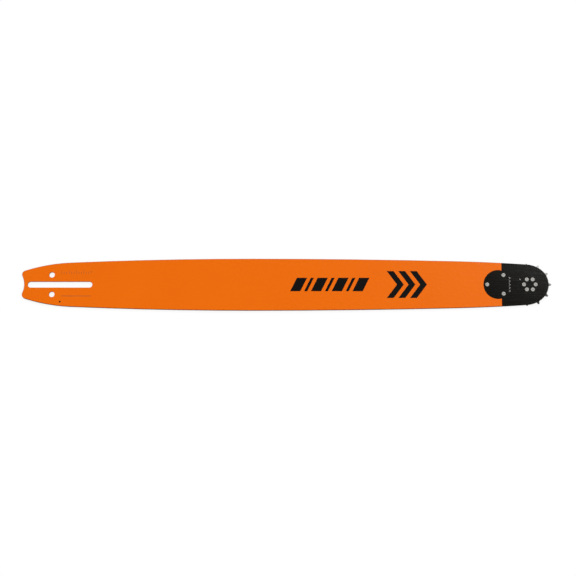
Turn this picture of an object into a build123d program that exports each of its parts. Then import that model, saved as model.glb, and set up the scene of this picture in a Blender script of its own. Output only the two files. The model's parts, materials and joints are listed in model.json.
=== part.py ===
from build123d import *
import math
import os

# Chainsaw guide bar with a riveted sprocket nose, lying flat on its back face.
# +X runs from the tail to the nose, +Y across the bar and +Z through its thickness.
# The origin is the centre of the stud slot, on the back face. Sizes are in millimetres.

# Thickness and chain groove
BAR_THICKNESS = 4.8
GROOVE_WIDTH = 1.6  # chain gauge, also the thickness of what lies between the nose plates
GROOVE_DEPTH = 8.0
GROOVE_MOUTH_WIDTH = 2.6  # the groove flares at the tail, where the chain runs in
GROOVE_MOUTH_LENGTH = 15.0
RAIL_CHAMFER = 0.4

# Rails: half widths at stations along the bar, joined by arcs that run smoothly into each other
BAR_WIDTH = 76.7
BELLY_X = 281.5
TAIL_RAIL_X = 15.0
TAIL_RAIL_HALF_WIDTH = 32.6
TAIL_RAIL_RADIUS = 254.0
TAIL_X = -52.6
NOSE_RAIL_SETBACK = 106.8  # behind the sprocket axis
NOSE_RAIL_RISE = 6.87  # above the nose radius
NOSE_SHOULDER_SETBACK = 4.1
NOSE_SHOULDER_RISE = 2.15

# Tail
TAIL_SCOOP_RADIUS = 29.0
TAIL_EAR_RADIUS = 6.0
SLOT_LENGTH = 95.0
SLOT_WIDTH = 9.1
ADJUSTER_HOLE_DIAMETER = 8.3
ADJUSTER_HOLE_X = -12.0
ADJUSTER_HOLE_Y = 14.5
OIL_HOLE_DIAMETER = 2.6
OIL_HOLE_Y = 25.4

# Nose plates
SPROCKET_X = 690.1
NOSE_RADIUS = 27.75
PLATE_SHOULDER_SETBACK = 41.4
PLATE_TAIL_SETBACK = 46.6
PLATE_TAIL_RADIUS = 21.5
PLATE_SEAT_CLEARANCE = 0.1
GREASE_HOLE_DIAMETER = 2.5
GREASE_HOLE_ANGLE = 150.0

# Sprocket
TOOTH_COUNT = 11
TOOTH_STANDOUT = 3.8  # tip beyond the nose plates
TOOTH_DEPTH = 8.8
TOOTH_TIP_WIDTH = 1.8
TOOTH_TIP_THICKNESS = 0.3  # the teeth thin down on both sides beyond the nose plates
TOOTH_FLANK_ANGLE = 38.0  # from the middle line of a tooth gap
SPROCKET_SIDE_CLEARANCE = 0.05
SPROCKET_POCKET_CLEARANCE = 1.0

# Roller bearing
HUB_RADIUS = 13.4
ROLLER_DIAMETER = 5.0
ROLLER_CLEARANCE = 0.03
ROLLER_SPACING = 0.1

# Rivets
RIVET_DIAMETER = 5.9
RIVET_CLEARANCE = 0.02
HUB_RIVET_COUNT = 6
HUB_RIVET_CIRCLE_RADIUS = 8.6
NOSE_RIVET_COUNT = 3
NOSE_RIVET_CIRCLE_RADIUS = 16.0

# Sizes that follow from those above
WALL = (BAR_THICKNESS - GROOVE_WIDTH) / 2
FRONT_LAYER = BAR_THICKNESS - WALL
TIP_RADIUS = NOSE_RADIUS + TOOTH_STANDOUT
ROOT_RADIUS = TIP_RADIUS - TOOTH_DEPTH
ROLLER_CIRCLE_RADIUS = HUB_RADIUS + ROLLER_CLEARANCE + ROLLER_DIAMETER / 2
BORE_RADIUS = ROLLER_CIRCLE_RADIUS + ROLLER_DIAMETER / 2 + ROLLER_CLEARANCE
ROLLER_COUNT = int(2 * math.pi * ROLLER_CIRCLE_RADIUS / (ROLLER_DIAMETER + ROLLER_SPACING))
RUNNING_THICKNESS = GROOVE_WIDTH - 2 * SPROCKET_SIDE_CLEARANCE
PLATE_TAIL_X = SPROCKET_X - PLATE_TAIL_SETBACK
PLATE_SHOULDER_X = SPROCKET_X - PLATE_SHOULDER_SETBACK
BEYOND = 15.0  # how far cutting shapes reach past what they cut

FROM_BELOW = (Align.CENTER, Align.CENTER, Align.MIN)


def rails():
    """The bar's face with the tail left running on, from its upper rail and the mirror of that."""
    belly = Vector(BELLY_X, BAR_WIDTH / 2)
    nose_rail = Vector(SPROCKET_X - NOSE_RAIL_SETBACK, NOSE_RADIUS + NOSE_RAIL_RISE)
    shoulder = Vector(SPROCKET_X - NOSE_SHOULDER_SETBACK, NOSE_RADIUS + NOSE_SHOULDER_RISE)
    belly_to_nose = TangentArc(belly, nose_rail, tangent=(1, 0))
    rail_to_shoulder = TangentArc(nose_rail, shoulder, tangent=belly_to_nose % 1)

    # the shoulder arc leaves the rail smoothly and touches the nose circle from inside
    outward = (rail_to_shoulder % 1).rotate(Axis.Z, 90)
    from_axis = shoulder - Vector(SPROCKET_X, 0)
    shoulder_radius = (from_axis.length**2 - NOSE_RADIUS**2) / (2 * (from_axis.dot(outward) - NOSE_RADIUS))
    to_arc_centre = from_axis - outward * shoulder_radius
    touch = Vector(SPROCKET_X, 0) - to_arc_centre.normalized() * NOSE_RADIUS
    shoulder_arc = TangentArc(shoulder, touch, tangent=rail_to_shoulder % 1)
    tip_arc = TangentArc(touch, (SPROCKET_X + NOSE_RADIUS, 0), tangent=shoulder_arc % 1)

    tail_rail = Vector(TAIL_RAIL_X, TAIL_RAIL_HALF_WIDTH)
    belly_to_tail = TangentArc(belly, tail_rail, tangent=(-1, 0))
    tail_sweep = math.degrees((TAIL_RAIL_X - TAIL_X + BEYOND) / TAIL_RAIL_RADIUS)
    tail_arc = JernArc(tail_rail, belly_to_tail % 1, TAIL_RAIL_RADIUS, tail_sweep)

    upper = Curve() + [tail_arc, belly_to_tail, belly_to_nose, rail_to_shoulder, shoulder_arc, tip_arc]
    tail_end = tail_arc @ 1
    closing = Line(tail_end, (tail_end.X, -tail_end.Y))
    return make_face(upper + mirror(upper, Plane.XZ) + closing)


def bar_outline(rail_face):
    """The rails with the hollow tail end cut in, and the two ears beside it rounded."""
    scoop = Pos(TAIL_X - TAIL_SCOOP_RADIUS, 0) * Circle(TAIL_SCOOP_RADIUS)
    outline = rail_face - scoop
    ears = outline.vertices().group_by(Axis.X)[0]
    return fillet(ears, TAIL_EAR_RADIUS)


def blank(outline):
    """The whole bar, nose included, as one plate with its outer edges broken."""
    plate = extrude(outline, BAR_THICKNESS)
    rims = plate.edges().group_by(Axis.Z)
    return chamfer(rims[0] + rims[-1], RAIL_CHAMFER)


def chain_groove(rail_face):
    """The slit along both rails, with its flared mouths at the tail."""
    rail_strip = rail_face - offset(rail_face, -GROOVE_DEPTH)
    groove = Pos(0, 0, WALL) * extrude(rail_strip, GROOVE_WIDTH)
    mouth_end = TAIL_X + GROOVE_MOUTH_LENGTH
    mouth_flare = Polyline(
        (TAIL_X, GROOVE_MOUTH_WIDTH / 2),
        (mouth_end, GROOVE_WIDTH / 2),
        (mouth_end, -GROOVE_WIDTH / 2),
        (TAIL_X, -GROOVE_MOUTH_WIDTH / 2),
        (TAIL_X - BEYOND, -GROOVE_MOUTH_WIDTH / 2),
        (TAIL_X - BEYOND, GROOVE_MOUTH_WIDTH / 2),
        close=True,
    )
    wedge = extrude(Plane.XZ * make_face(mouth_flare), BAR_WIDTH, both=True)
    mouths = extrude(rail_strip, BAR_THICKNESS) & Pos(0, 0, BAR_THICKNESS / 2) * wedge
    return groove + mouths


def plate_seat():
    """Plan of the recess that takes a nose plate: all of the nose, and a round lock behind it."""
    reach = PLATE_SHOULDER_SETBACK + NOSE_RADIUS + BEYOND
    nose = Pos(PLATE_SHOULDER_X + reach / 2, 0) * Rectangle(reach, BAR_WIDTH + 2 * BEYOND)
    return nose + Pos(PLATE_TAIL_X, 0) * Circle(PLATE_TAIL_RADIUS)


def hub_rivet_places():
    return Pos(SPROCKET_X, 0) * PolarLocations(HUB_RIVET_CIRCLE_RADIUS, HUB_RIVET_COUNT)


def nose_rivet_places():
    return Pos(PLATE_TAIL_X, 0) * PolarLocations(NOSE_RIVET_CIRCLE_RADIUS, NOSE_RIVET_COUNT, start_angle=180)


def rivets(places):
    """Rivets closed in their holes and ground flush with both faces of the bar."""
    rivet = Cylinder(RIVET_DIAMETER / 2, BAR_THICKNESS, align=FROM_BELOW)
    return [(place * rivet).solid() for place in places]


def rivet_holes(places):
    hole = Cylinder(RIVET_DIAMETER / 2 + RIVET_CLEARANCE, BAR_THICKNESS, align=FROM_BELOW)
    return [place * hole for place in places]


def bar_body(whole, rail_face):
    body = whole - chain_groove(rail_face)
    recess = extrude(plate_seat(), WALL)
    body -= [recess, Pos(0, 0, FRONT_LAYER) * recess]

    # the tongue that is left between the recesses ends in a hollow round the sprocket
    pocket = Cylinder(TIP_RADIUS + SPROCKET_POCKET_CLEARANCE, GROOVE_WIDTH, align=FROM_BELOW)
    body -= Pos(SPROCKET_X, 0, WALL) * pocket
    body -= rivet_holes(nose_rivet_places())

    body -= extrude(SlotOverall(SLOT_LENGTH, SLOT_WIDTH), BAR_THICKNESS)
    adjuster_hole = Cylinder(ADJUSTER_HOLE_DIAMETER / 2, BAR_THICKNESS, align=FROM_BELOW)
    body -= [Pos(ADJUSTER_HOLE_X, side * ADJUSTER_HOLE_Y) * adjuster_hole for side in (-1, 1)]

    # one oil hole in each face, so that the bar can be turned over
    oil_hole = Cylinder(OIL_HOLE_DIAMETER / 2, WALL, align=FROM_BELOW)
    body -= [Pos(0, OIL_HOLE_Y, 0) * oil_hole, Pos(0, -OIL_HOLE_Y, FRONT_LAYER) * oil_hole]
    return body


def nose_plate(whole, height):
    seat = offset(plate_seat(), -PLATE_SEAT_CLEARANCE, kind=Kind.INTERSECTION)
    plate = whole & (Pos(0, 0, height) * extrude(seat, WALL))
    plate -= rivet_holes(hub_rivet_places())
    plate -= rivet_holes(nose_rivet_places())
    grease_hole = Cylinder(GREASE_HOLE_DIAMETER / 2, BAR_THICKNESS, align=FROM_BELOW)
    over_rollers = PolarLocations(ROLLER_CIRCLE_RADIUS, 1, start_angle=GREASE_HOLE_ANGLE)
    plate -= [Pos(SPROCKET_X, 0) * place * grease_hole for place in over_rollers]
    return plate


def tooth_gap():
    """Plan of the gap between two teeth: a round root with straight flanks that open outwards."""
    flank = math.radians(TOOTH_FLANK_ANGLE)
    corner_angle = math.pi / TOOTH_COUNT - math.asin(TOOTH_TIP_WIDTH / 2 / TIP_RADIUS)
    corner_x = TIP_RADIUS * math.cos(corner_angle)
    corner_y = TIP_RADIUS * math.sin(corner_angle)
    rise = ROOT_RADIUS - corner_x * math.sin(flank) + corner_y * math.cos(flank)
    centre_x = rise / (1 - math.sin(flank))
    radius = centre_x - ROOT_RADIUS
    flank_x = centre_x - radius * math.sin(flank)
    flank_y = radius * math.cos(flank)
    out_x = corner_x + BEYOND * math.cos(flank)
    out_y = corner_y + BEYOND * math.sin(flank)
    root = ThreePointArc((flank_x, flank_y), (ROOT_RADIUS, 0), (flank_x, -flank_y))
    sides = Polyline((flank_x, -flank_y), (out_x, -out_y), (out_x, out_y), (flank_x, flank_y))
    return make_face(root + sides)


def thinned_disc():
    """Full disc as thick as the sprocket, with a rim that tapers to the tips of the teeth."""
    taper = (RUNNING_THICKNESS - TOOTH_TIP_THICKNESS) / 2
    section = Polyline(
        (0, 0),
        (NOSE_RADIUS, 0),
        (TIP_RADIUS, taper),
        (TIP_RADIUS, RUNNING_THICKNESS - taper),
        (NOSE_RADIUS, RUNNING_THICKNESS),
        (0, RUNNING_THICKNESS),
        close=True,
    )
    return revolve(Plane.XZ * make_face(section), Axis.Z)


def sprocket():
    pitch = 360 / TOOTH_COUNT
    ring = Circle(TIP_RADIUS) - Circle(BORE_RADIUS)
    ring -= [Rot(0, 0, (tooth + 0.5) * pitch) * tooth_gap() for tooth in range(TOOTH_COUNT)]
    wheel = extrude(ring, RUNNING_THICKNESS) & thinned_disc()
    return Pos(SPROCKET_X, 0, WALL + SPROCKET_SIDE_CLEARANCE) * wheel


def bearing_hub():
    hub = Pos(SPROCKET_X, 0, WALL) * Cylinder(HUB_RADIUS, GROOVE_WIDTH, align=FROM_BELOW)
    return hub - rivet_holes(hub_rivet_places())


def bearing_rollers():
    roller = Cylinder(ROLLER_DIAMETER / 2, RUNNING_THICKNESS, align=FROM_BELOW)
    centre = Pos(SPROCKET_X, 0, WALL + SPROCKET_SIDE_CLEARANCE)
    ring = PolarLocations(ROLLER_CIRCLE_RADIUS, ROLLER_COUNT)
    return [(centre * place * roller).solid() for place in ring]


def main():
    rail_face = rails()
    whole = blank(bar_outline(rail_face))
    pieces = {
        "bar_body": bar_body(whole, rail_face).solid(),
        "nose_plate_back": nose_plate(whole, 0).solid(),
        "nose_plate_front": nose_plate(whole, FRONT_LAYER).solid(),
        "sprocket": sprocket().solid(),
        "bearing_hub": bearing_hub().solid(),
        "bearing_rollers": Compound(children=bearing_rollers()),
        "hub_rivets": Compound(children=rivets(hub_rivet_places())),
        "nose_rivets": Compound(children=rivets(nose_rivet_places())),
    }
    os.makedirs("parts", exist_ok=True)
    for name, piece in pieces.items():
        export_step(piece, f"parts/{name}.step")


main()
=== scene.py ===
import json
import math

import bmesh
import bpy
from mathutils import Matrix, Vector


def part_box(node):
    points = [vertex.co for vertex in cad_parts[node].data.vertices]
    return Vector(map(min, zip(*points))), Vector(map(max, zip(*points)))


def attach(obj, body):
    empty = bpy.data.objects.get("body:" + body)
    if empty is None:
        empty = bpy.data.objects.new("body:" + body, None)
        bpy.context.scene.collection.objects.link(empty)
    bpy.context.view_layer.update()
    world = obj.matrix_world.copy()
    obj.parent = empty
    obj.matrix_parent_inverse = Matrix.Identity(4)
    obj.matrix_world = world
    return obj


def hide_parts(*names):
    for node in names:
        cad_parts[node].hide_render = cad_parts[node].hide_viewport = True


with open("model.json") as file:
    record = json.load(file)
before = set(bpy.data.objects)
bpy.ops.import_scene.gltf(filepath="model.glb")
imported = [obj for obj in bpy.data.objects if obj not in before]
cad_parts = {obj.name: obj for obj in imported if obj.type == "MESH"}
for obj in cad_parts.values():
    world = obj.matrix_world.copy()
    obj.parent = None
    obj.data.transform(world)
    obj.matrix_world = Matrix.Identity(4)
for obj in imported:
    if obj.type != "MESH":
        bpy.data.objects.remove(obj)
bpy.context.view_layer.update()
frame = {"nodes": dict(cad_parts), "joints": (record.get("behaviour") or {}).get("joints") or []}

MM = 0.001

# The bar, in millimetres, in the frame's own axes
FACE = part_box("bar_body")[1].z / MM
SPROCKET_SPIN = next(joint for joint in frame["joints"] if joint["name"] == "sprocket_spin")
NOSE_CENTRE = [place / MM for place in SPROCKET_SPIN["pos_m"][:2]]
TONGUE_SETBACK = 46.6  # from the sprocket's axis back to the middle of the three nose rivets
TONGUE_CENTRE = [NOSE_CENTRE[0] - TONGUE_SETBACK, NOSE_CENTRE[1]]
GROOVE_SPAN = 2.7  # takes in the chain groove with its flared mouths
GROOVE_LOW = (FACE - GROOVE_SPAN) / 2
GROOVE_HIGH = (FACE + GROOVE_SPAN) / 2
# On the bar, faces under this tilt take the darker orange edge coat: painted shade on the cut edges and
# chamfers.
EDGE_TILT = 0.8  # a face whose normal rises less than this is a cut edge or its chamfer

# Rivets, in millimetres; an end goes from the punch dimple to the rim, by radius and height above the face
HUB_RIVET_RING = 8.6
NOSE_RIVET_RING = 16.0
RIVET_RADIUS = 2.95
RIVET_END = [
    (0.0, -0.5), (0.3, -0.47), (0.58, -0.36), (0.82, -0.18), (1.0, -0.04), (1.18, 0.04), (1.4, 0.08),
    (1.8, 0.10), (2.2, 0.08), (2.5, 0.03), (2.72, -0.03), (2.86, -0.1), (RIVET_RADIUS, -0.2)]
RIVET_SIDES = 56
PUNCH_RING_SPACING = 0.6

INK_FILM = 0.03  # how far print and marks stand out of the face, and reach into it, in millimetres

# Floor, in metres: a wide disc with a rim that slopes up all round it
FLOOR_RADIUS = 26.0
RIM_RADIUS = 30.0
RIM_HEIGHT = 5.0
FLOOR_SIDES = 96
FLOOR_GLOW = 0.88

# Room light by direction: heights go from 0 at the horizon to 1 overhead, sides from -1 near to 1 far
WALL_FOOT, WALL_TOP = 0.3, 0.65
WALL_FOOT_LEVEL = 0.22
CEILING_EDGE, CEILING_MIDDLE = 0.87, 0.94
CEILING_LEVEL = 0.04
NEAR_SIDE, FAR_SIDE = -0.3, 0.5
NEAR_LEVEL, FAR_LEVEL = 0.81, 2.2

# Nose lamp, in metres and watts
NOSE_LAMP_PLACE = Vector((1.135, 0.66, 2.1))
NOSE_LAMP_AIM = Vector((0.335, 0.0, 0.0))
NOSE_LAMP_SIZE = 0.45
NOSE_LAMP_POWER = 6

# Camera, in millimetres and degrees
VIEW_MIDDLE = Vector((334.9, -5.2, FACE))
VIEW_ELEVATION = 81.0
VIEW_WIDTH = 845.8
LENS = 135.0
SENSOR = 36.0

# Where a Mix node takes two colours and gives the mixed one
FACTOR, FIRST, SECOND = 0, 6, 7
MIXED = 2


def linear(code):
    """An sRGB hex colour as the linear RGBA that a socket takes."""
    parts = [int(code[i:i + 2], 16) / 255 for i in (1, 3, 5)]
    return [p / 12.92 if p <= 0.04045 else ((p + 0.055) / 1.055) ** 2.4 for p in parts] + [1.0]


def add(tree, kind, inputs=(), **settings):
    """Adds one node, with its settings, and sets or links its inputs."""
    node = tree.nodes.new("ShaderNode" + kind)
    for name, value in settings.items():
        setattr(node, name, value)
    for name, value in dict(inputs).items():
        if isinstance(value, bpy.types.NodeSocket):
            tree.links.new(value, node.inputs[name])
        else:
            node.inputs[name].default_value = value
    return node


def start_finish(name):
    """A bare material and its empty node tree, ready for a finish to be built on."""
    material = bpy.data.materials.new(name)
    material.use_nodes = True
    tree = material.node_tree
    tree.nodes.clear()
    return material, tree


def waves_per_metre(size_mm):
    """Noise scale that gives one blotch in about size_mm."""
    return 1 / (size_mm * MM)


def orange_powder_coat():
    # Polyester powder, sprayed dry and baked on ground steel: an even satin film, with faint clouds and
    # the slight orange peel of melted powder. The peel is drawn 5 mm long and deeper than real, so that
    # it shows.
    material, tree = start_finish("orange_powder_coat")
    where = add(tree, "TexCoord").outputs["Object"]
    cloud = add(tree, "TexNoise", {"Vector": where, "Scale": waves_per_metre(70), "Detail": 2.0})
    shade = add(tree, "Mix", {
        FACTOR: cloud.outputs[0], FIRST: linear("#EA6900"), SECOND: linear("#EE6E00")}, data_type="RGBA")
    peel = add(tree, "TexNoise", {"Vector": where, "Scale": waves_per_metre(5), "Detail": 1.0})
    gloss = add(tree, "MapRange", {"Value": peel.outputs[0], "To Min": 0.28, "To Max": 0.34})
    skin = add(tree, "Bump", {"Height": peel.outputs[0], "Strength": 0.8, "Distance": 0.2 * MM})
    paint = add(tree, "BsdfPrincipled", {
        "Base Color": shade.outputs[MIXED], "Roughness": gloss.outputs[0], "Normal": skin.outputs[0],
        "IOR": 1.5, "Specular IOR Level": 0.15})
    add(tree, "OutputMaterial", {"Surface": paint.outputs[0]})
    return material


def matt_edge_coat(name, dark, light):
    # The same coat on the cut edges and chamfers, baked thin and dry: matt and without the sheen of the
    # faces. The orange edge colours are darker than the faces' as painted shade on the edges; the black
    # ones match the faces. Its patches are drawn 3 mm long.
    material, tree = start_finish(name)
    where = add(tree, "TexCoord").outputs["Object"]
    patch = add(tree, "TexNoise", {"Vector": where, "Scale": waves_per_metre(3), "Detail": 2.0})
    shade = add(tree, "Mix", {
        FACTOR: patch.outputs[0], FIRST: linear(dark), SECOND: linear(light)}, data_type="RGBA")
    dry = add(tree, "MapRange", {"Value": patch.outputs[0], "To Min": 0.6, "To Max": 0.75})
    paint = add(tree, "BsdfPrincipled", {
        "Base Color": shade.outputs[MIXED], "Roughness": dry.outputs[0],
        "IOR": 1.5, "Specular IOR Level": 0.1})
    add(tree, "OutputMaterial", {"Surface": paint.outputs[0]})
    return material


def black_stoving_enamel():
    # Black enamel dipped and baked on plates that were ground lengthwise: a semi-gloss film through
    # which the grinding lines show faintly. The lines are drawn 1.6 mm apart, coarser than real, and
    # 25 times as long.
    material, tree = start_finish("black_stoving_enamel")
    where = add(tree, "TexCoord").outputs["Object"]
    lengthwise = add(tree, "Mapping", {"Vector": where, "Scale": (1 / 25, 1.0, 1.0)})
    lines = add(tree, "TexNoise", {
        "Vector": lengthwise.outputs[0], "Scale": waves_per_metre(1.6), "Detail": 2.0})
    cloud = add(tree, "TexNoise", {"Vector": where, "Scale": waves_per_metre(18), "Detail": 2.0})
    shade = add(tree, "Mix", {
        FACTOR: cloud.outputs[0], FIRST: linear("#090805"), SECOND: linear("#0F0E09")}, data_type="RGBA")
    gloss = add(tree, "MapRange", {"Value": lines.outputs[0], "To Min": 0.11, "To Max": 0.16})
    skin = add(tree, "Bump", {"Height": lines.outputs[0], "Strength": 0.8, "Distance": 0.04 * MM})
    paint = add(tree, "BsdfPrincipled", {
        "Base Color": shade.outputs[MIXED], "Roughness": gloss.outputs[0], "Normal": skin.outputs[0],
        "IOR": 1.5, "Specular IOR Level": 0.35})
    add(tree, "OutputMaterial", {"Surface": paint.outputs[0]})
    return material


def formed_rivet_steel():
    # Mild steel rivet, its ends rolled over by a turning punch: bright bare metal with fine rings round
    # its middle. The rings are drawn 0.6 mm apart, coarser than the punch leaves them.
    material, tree = start_finish("formed_rivet_steel")
    across = add(tree, "UVMap", uv_map="radius_mm")
    wave_at_scale_one = 2 * math.pi / 20
    rings = add(tree, "TexWave", {
        "Vector": across.outputs[0], "Scale": wave_at_scale_one / PUNCH_RING_SPACING, "Distortion": 0.4},
        wave_type="BANDS", bands_direction="Y")
    where = add(tree, "TexCoord").outputs["Object"]
    smear = add(tree, "TexNoise", {"Vector": where, "Scale": waves_per_metre(2.5), "Detail": 3.0})
    shade = add(tree, "Mix", {
        FACTOR: smear.outputs[0], FIRST: linear("#96948F"), SECOND: linear("#ADABA7")}, data_type="RGBA")
    gloss = add(tree, "MapRange", {"Value": smear.outputs[0], "To Min": 0.38, "To Max": 0.52})
    skin = add(tree, "Bump", {"Height": rings.outputs["Fac"], "Strength": 0.25, "Distance": 0.02 * MM})
    steel = add(tree, "BsdfPrincipled", {
        "Base Color": shade.outputs[MIXED], "Roughness": gloss.outputs[0], "Normal": skin.outputs[0],
        "Metallic": 1.0})
    add(tree, "OutputMaterial", {"Surface": steel.outputs[0]})
    return material


def tumbled_hardened_steel(name, smoothest, roughest):
    # Carbon steel, hardened, tempered and tumbled: mid grey with a sheen and a faint straw and blue
    # cast left by the heat, brightest where the chain rubs it and dull in the greased bearing. The
    # tumbling dints are drawn 0.8 mm wide, coarser than real.
    material, tree = start_finish(name)
    where = add(tree, "TexCoord").outputs["Object"]
    cast = add(tree, "TexNoise", {"Vector": where, "Scale": waves_per_metre(9), "Detail": 2.0})
    shade = add(tree, "Mix", {
        FACTOR: cast.outputs[0], FIRST: linear("#868178"), SECOND: linear("#808488")}, data_type="RGBA")
    dints = add(tree, "TexNoise", {"Vector": where, "Scale": waves_per_metre(0.8), "Detail": 2.0})
    gloss = add(tree, "MapRange", {"Value": dints.outputs[0], "To Min": smoothest, "To Max": roughest})
    skin = add(tree, "Bump", {"Height": dints.outputs[0], "Strength": 0.2, "Distance": 0.02 * MM})
    steel = add(tree, "BsdfPrincipled", {
        "Base Color": shade.outputs[MIXED], "Roughness": gloss.outputs[0], "Normal": skin.outputs[0],
        "Metallic": 1.0})
    add(tree, "OutputMaterial", {"Surface": steel.outputs[0]})
    return material


def milled_groove_steel():
    # Bar steel left bare where the slitting cutter ran: dull and dark with oil, with cutter lines along
    # the rail. The lines are drawn 0.5 mm apart, coarser than the cutter leaves them, and 50 times as
    # long.
    material, tree = start_finish("milled_groove_steel")
    where = add(tree, "TexCoord").outputs["Object"]
    along = add(tree, "Mapping", {"Vector": where, "Scale": (1 / 50, 1.0, 1.0)})
    lines = add(tree, "TexNoise", {
        "Vector": along.outputs[0], "Scale": waves_per_metre(0.5), "Detail": 2.0})
    shade = add(tree, "Mix", {
        FACTOR: lines.outputs[0], FIRST: linear("#55524D"), SECOND: linear("#77746F")}, data_type="RGBA")
    gloss = add(tree, "MapRange", {"Value": lines.outputs[0], "To Min": 0.4, "To Max": 0.58})
    skin = add(tree, "Bump", {"Height": lines.outputs[0], "Strength": 0.3, "Distance": 0.02 * MM})
    steel = add(tree, "BsdfPrincipled", {
        "Base Color": shade.outputs[MIXED], "Roughness": gloss.outputs[0], "Normal": skin.outputs[0],
        "Metallic": 1.0})
    add(tree, "OutputMaterial", {"Surface": steel.outputs[0]})
    return material


def black_screen_ink():
    # Black ink pulled through a screen on to the powder coat: a thin film with little sheen, a bit uneven
    # where the coat's peel shows through. The screen's dots are drawn 1.8 mm wide, coarser than its mesh.
    material, tree = start_finish("black_screen_ink")
    where = add(tree, "TexCoord").outputs["Object"]
    dots = add(tree, "TexNoise", {"Vector": where, "Scale": waves_per_metre(1.8), "Detail": 1.0})
    shade = add(tree, "Mix", {
        FACTOR: dots.outputs[0], FIRST: linear("#050404"), SECOND: linear("#0C0A09")}, data_type="RGBA")
    gloss = add(tree, "MapRange", {"Value": dots.outputs[0], "To Min": 0.3, "To Max": 0.42})
    skin = add(tree, "Bump", {"Height": dots.outputs[0], "Strength": 0.2, "Distance": 0.01 * MM})
    ink = add(tree, "BsdfPrincipled", {
        "Base Color": shade.outputs[MIXED], "Roughness": gloss.outputs[0], "Normal": skin.outputs[0],
        "IOR": 1.5, "Specular IOR Level": 0.1})
    add(tree, "OutputMaterial", {"Surface": ink.outputs[0]})
    return material


def laser_mark(name, dark, light):
    # Coat burnt by a laser that marks in close lines: matt, and darker or paler than the coat round it.
    # The lines are drawn 0.4 mm apart, coarser than the laser's.
    material, tree = start_finish(name)
    where = add(tree, "TexCoord").outputs["Object"]
    lines = add(tree, "TexNoise", {"Vector": where, "Scale": waves_per_metre(0.4), "Detail": 1.0})
    shade = add(tree, "Mix", {
        FACTOR: lines.outputs[0], FIRST: linear(dark), SECOND: linear(light)}, data_type="RGBA")
    burnt = add(tree, "BsdfPrincipled", {
        "Base Color": shade.outputs[MIXED], "Roughness": 0.75, "IOR": 1.5})
    add(tree, "OutputMaterial", {"Surface": burnt.outputs[0]})
    return material


def finish_node(node, *materials):
    piece = frame["nodes"][node]
    piece.data.materials.clear()
    for material in materials:
        piece.data.materials.append(material)
    return piece


def is_cut_edge(face):
    return abs(face.normal.z) < EDGE_TILT


def finish_bar_body(coat, edge_coat, bare):
    """Coat on the faces, the darker edge coat on the cut edges and chamfers as painted shade, and bare
    steel wholly inside the chain groove.
    """
    body = finish_node("bar_body", coat, edge_coat, bare)
    heights = [v.co.z / MM for v in body.data.vertices]
    for face in body.data.polygons:
        in_groove = all(GROOVE_LOW < heights[v] < GROOVE_HIGH for v in face.vertices)
        face.material_index = 2 if in_groove else int(is_cut_edge(face))


def finish_nose_plate(node, enamel, edge_coat):
    """Enamel on the faces, and thin enamel on the cut edges."""
    for face in finish_node(node, enamel, edge_coat).data.polygons:
        face.material_index = int(is_cut_edge(face))


def mesh_from(bm, name):
    mesh = bpy.data.meshes.new(name)
    bm.to_mesh(mesh)
    bm.free()
    return mesh


def new_piece(name, mesh, material):
    piece = bpy.data.objects.new(name, mesh)
    bpy.context.scene.collection.objects.link(piece)
    piece.data.materials.append(material)
    return piece


def ring_of(centre, radius, count, start=0.0):
    """Places spread evenly round a circle, the first at the start angle in degrees."""
    turns = [math.radians(start + 360 * k / count) for k in range(count)]
    return [(centre[0] + radius * math.cos(t), centre[1] + radius * math.sin(t)) for t in turns]


def turn_rivet(bm, radius_mm, section, centre):
    """Turns a section round the rivet's axis, and keeps the turn and the radius as UV."""
    rings = []
    for radius, height in section:
        places = ring_of(centre, radius, RIVET_SIDES if radius else 1)
        rings.append([bm.verts.new((x * MM, y * MM, height * MM)) for x, y in places])
    for i in range(len(section) - 1):
        for k in range(RIVET_SIDES):
            corners = {}
            for row, turn in ((i, k), (i + 1, k), (i + 1, k + 1), (i, k + 1)):
                corner = rings[row][turn % len(rings[row])]
                corners.setdefault(corner, (turn / RIVET_SIDES, section[row][0]))
            face = bm.faces.new(list(corners))
            face.smooth = True
            for loop, uv in zip(face.loops, corners.values()):
                loop[radius_mm].uv = uv


def formed_rivets(name, node, centres, material):
    """Rivets with a rolled rim, a low crown and a punch dimple at both ends, in place of a node's."""
    front = [(radius, FACE + height) for radius, height in RIVET_END]
    back = [(radius, -height) for radius, height in reversed(RIVET_END)]
    bm = bmesh.new()
    radius_mm = bm.loops.layers.uv.new("radius_mm")
    for centre in centres:
        turn_rivet(bm, radius_mm, front + back, centre)
    bmesh.ops.recalc_face_normals(bm, faces=bm.faces)
    piece = new_piece(name, mesh_from(bm, name), material)
    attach(piece, "bar")
    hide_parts(node)


def printed_film(name, shapes, material):
    """Flat outlines in millimetres, as thin closed films that lie on the bar's front face."""
    bm = bmesh.new()
    for shape in shapes:
        low = [bm.verts.new((x * MM, y * MM, (FACE - INK_FILM) * MM)) for x, y in shape]
        high = [bm.verts.new((x * MM, y * MM, (FACE + INK_FILM) * MM)) for x, y in shape]
        bm.faces.new(high)
        bm.faces.new(low[::-1])
        for i in range(len(shape)):
            bm.faces.new((low[i - 1], low[i], high[i], high[i - 1]))
    bmesh.ops.recalc_face_normals(bm, faces=bm.faces)
    piece = new_piece(name, mesh_from(bm, name), material)
    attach(piece, "bar")


def stripe(x, y, width, height, lean=0.0):
    """A four-sided outline from its lower left corner, whose top leans towards the nose."""
    return [(x, y), (x + width, y), (x + width + lean, y + height), (x + lean, y + height)]


def chevron(x, y, half_height, arm, sweep):
    """An arrowhead that points to the nose, with both arms starting at x and its middle at y."""
    return [(x, y - half_height), (x + arm, y - half_height), (x + arm + sweep, y),
            (x + arm, y + half_height), (x, y + half_height), (x + sweep, y)]


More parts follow.
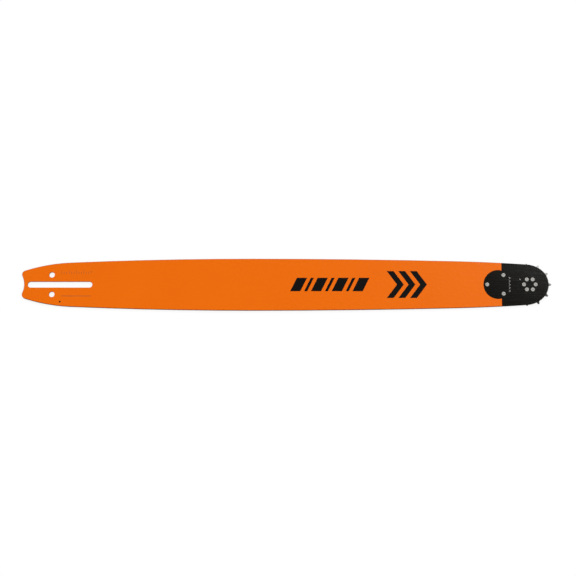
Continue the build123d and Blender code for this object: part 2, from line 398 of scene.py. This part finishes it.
def slanted_stripes():
    """Wide and narrow leaning stripes in turn, along the middle of the bar."""
    x, gap = 338.0, 5.5
    half_height, lean = 10.0, 10.0
    wide, narrow = 15.0, 4.5
    shapes = []
    for width in (wide, narrow, wide, narrow, wide, narrow, wide):
        shapes.append(stripe(x, -half_height, width, 2 * half_height, lean))
        x += width + gap
    return shapes


def nose_chevrons():
    """Three chevrons that point to the nose."""
    start, spacing = 480.0, 17.0
    return [chevron(start + k * spacing, 0.0, half_height=20.0, arm=10.0, sweep=15.0) for k in range(3)]


def tension_ticks():
    """A row of tension marks above the stud slot, every third one longer, and a line as long below it."""
    start, spacing, count = 2.0, 3.6, 13
    foot, width = 16.0, 0.6
    tall, short = 5.0, 3.0
    line_foot, line_width = -17.4, 0.8
    ticks = [stripe(start + k * spacing, foot, width, short if k % 3 else tall) for k in range(count)]
    return ticks + [stripe(start, line_foot, (count - 1) * spacing + width, line_width)]


def nose_arrows():
    """A column of small arrowheads on the nose plate, which point to the tip."""
    start, spacing = 659.0, 4.8
    return [chevron(start, k * spacing, half_height=1.5, arm=1.0, sweep=2.0) for k in range(-2, 3)]


def studio_floor():
    # Matt white floor. What the room lights of it keeps the bar's shadow, and the rest of its white is
    # shown to the eye and to reflections only, so that it throws no extra light on the bar.
    material, tree = start_finish("matt_studio_floor")
    matt = add(tree, "BsdfDiffuse", {"Color": linear("#666666")})
    path = add(tree, "LightPath").outputs
    eye = add(tree, "Math", {0: path["Is Camera Ray"], 1: path["Is Glossy Ray"]}, operation="MAXIMUM")
    seen = add(tree, "Math", {0: eye.outputs[0], 1: path["Is Transmission Ray"]}, operation="MAXIMUM")
    level = add(tree, "Math", {0: seen.outputs[0], 1: FLOOR_GLOW}, operation="MULTIPLY")
    white = add(tree, "Emission", {"Color": linear("#FFFFFF"), "Strength": level.outputs[0]})
    both = add(tree, "AddShader", {0: matt.outputs[0], 1: white.outputs[0]})
    add(tree, "OutputMaterial", {"Surface": both.outputs[0]})

    bm = bmesh.new()
    flat = [bm.verts.new((x, y, 0.0)) for x, y in ring_of((0, 0), FLOOR_RADIUS, FLOOR_SIDES)]
    rim = [bm.verts.new((x, y, RIM_HEIGHT)) for x, y in ring_of((0, 0), RIM_RADIUS, FLOOR_SIDES)]
    bm.faces.new(flat)
    for k in range(FLOOR_SIDES):
        bm.faces.new((flat[k - 1], flat[k], rim[k], rim[k - 1]))
    mesh = mesh_from(bm, "studio_floor")
    new_piece("studio_floor", mesh, material)


def soft_room():
    """A room that is bright half way up, most of all behind the bar, and dark overhead."""
    world = bpy.data.worlds.new("soft_room")
    bpy.context.scene.world = world
    world.use_nodes = True
    tree = world.node_tree
    tree.nodes.clear()
    toward = add(tree, "SeparateXYZ", {0: add(tree, "TexCoord").outputs["Generated"]}).outputs
    walls = add(tree, "MapRange", {
        "Value": toward["Z"], "From Min": WALL_FOOT, "From Max": WALL_TOP,
        "To Min": WALL_FOOT_LEVEL, "To Max": 1.0})
    ceiling = add(tree, "MapRange", {
        "Value": toward["Z"], "From Min": CEILING_EDGE, "From Max": CEILING_MIDDLE,
        "To Min": 1.0, "To Max": CEILING_LEVEL})
    side = add(tree, "MapRange", {
        "Value": toward["Y"], "From Min": NEAR_SIDE, "From Max": FAR_SIDE,
        "To Min": NEAR_LEVEL, "To Max": FAR_LEVEL})
    band = add(tree, "Math", {0: walls.outputs[0], 1: ceiling.outputs[0]}, operation="MULTIPLY")
    level = add(tree, "Math", {0: band.outputs[0], 1: side.outputs[0]}, operation="MULTIPLY")
    room = add(tree, "Background", {"Color": linear("#FFFFFF"), "Strength": level.outputs[0]})
    add(tree, "OutputWorld", {"Surface": room.outputs[0]})


def place_facing(name, data, place, aim):
    """Puts a lamp or a camera at a place, turned towards what it is aimed at."""
    holder = bpy.data.objects.new(name, data)
    bpy.context.scene.collection.objects.link(holder)
    holder.location = place
    holder.rotation_euler = (aim - place).to_track_quat("-Z", "Y").to_euler()
    return holder


def nose_lamp():
    """A small soft lamp beyond the nose, which gives the plates and teeth their sheen."""
    lamp = bpy.data.lights.new("nose_lamp", "AREA")
    lamp.shape = "DISK"
    lamp.size = NOSE_LAMP_SIZE
    lamp.energy = NOSE_LAMP_POWER
    place_facing("nose_lamp", lamp, NOSE_LAMP_PLACE, NOSE_LAMP_AIM)


def photo_camera():
    """A long lens above the bar, a little to its near side, that takes in VIEW_WIDTH at the bar."""
    camera = bpy.data.cameras.new("photo_camera")
    camera.lens = LENS
    camera.sensor_width = SENSOR
    tilt = math.radians(VIEW_ELEVATION)
    away = Vector((0.0, -math.cos(tilt), math.sin(tilt))) * (VIEW_WIDTH * LENS / SENSOR)
    place = (VIEW_MIDDLE + away) * MM
    bpy.context.scene.camera = place_facing("photo_camera", camera, place, VIEW_MIDDLE * MM)


coat = orange_powder_coat()
# Painted shade: these edge colours are darker than the face orange and stand for the shade on the bar's
# cut edges and chamfers.
orange_edge_painted_shade = matt_edge_coat("orange_edge_coat_painted_shade", "#944305", "#A84E07")
enamel = black_stoving_enamel()
enamel_edge = matt_edge_coat("thin_black_edge_enamel", "#080807", "#121110")
sprocket_steel = tumbled_hardened_steel("chain_rubbed_sprocket_steel", 0.14, 0.22)
bearing_steel = tumbled_hardened_steel("greased_bearing_steel", 0.28, 0.36)
rivet_steel = formed_rivet_steel()
burnt_coat = laser_mark("laser_burnt_coat", "#8E4A14", "#A9581A")
bared_enamel = laser_mark("laser_bared_enamel", "#8B8A87", "#A8A6A2")

finish_bar_body(coat, orange_edge_painted_shade, milled_groove_steel())
finish_nose_plate("nose_plate_front", enamel, enamel_edge)
finish_nose_plate("nose_plate_back", enamel, enamel_edge)
finish_node("sprocket", sprocket_steel)
finish_node("bearing_hub", bearing_steel)
finish_node("bearing_rollers", bearing_steel)

hub_ring = ring_of(NOSE_CENTRE, HUB_RIVET_RING, 6)
nose_ring = ring_of(TONGUE_CENTRE, NOSE_RIVET_RING, 3, start=180.0)
formed_rivets("hub_rivet_set", "hub_rivets", hub_ring, rivet_steel)
formed_rivets("nose_rivet_set", "nose_rivets", nose_ring, rivet_steel)
printed_film("bar_print", slanted_stripes() + nose_chevrons(), black_screen_ink())
printed_film("bar_tension_marks", tension_ticks(), burnt_coat)
printed_film("nose_arrow_marks", nose_arrows(), bared_enamel)

studio_floor()
soft_room()
nose_lamp()
photo_camera()
bpy.context.scene.view_settings.view_transform = "Standard"
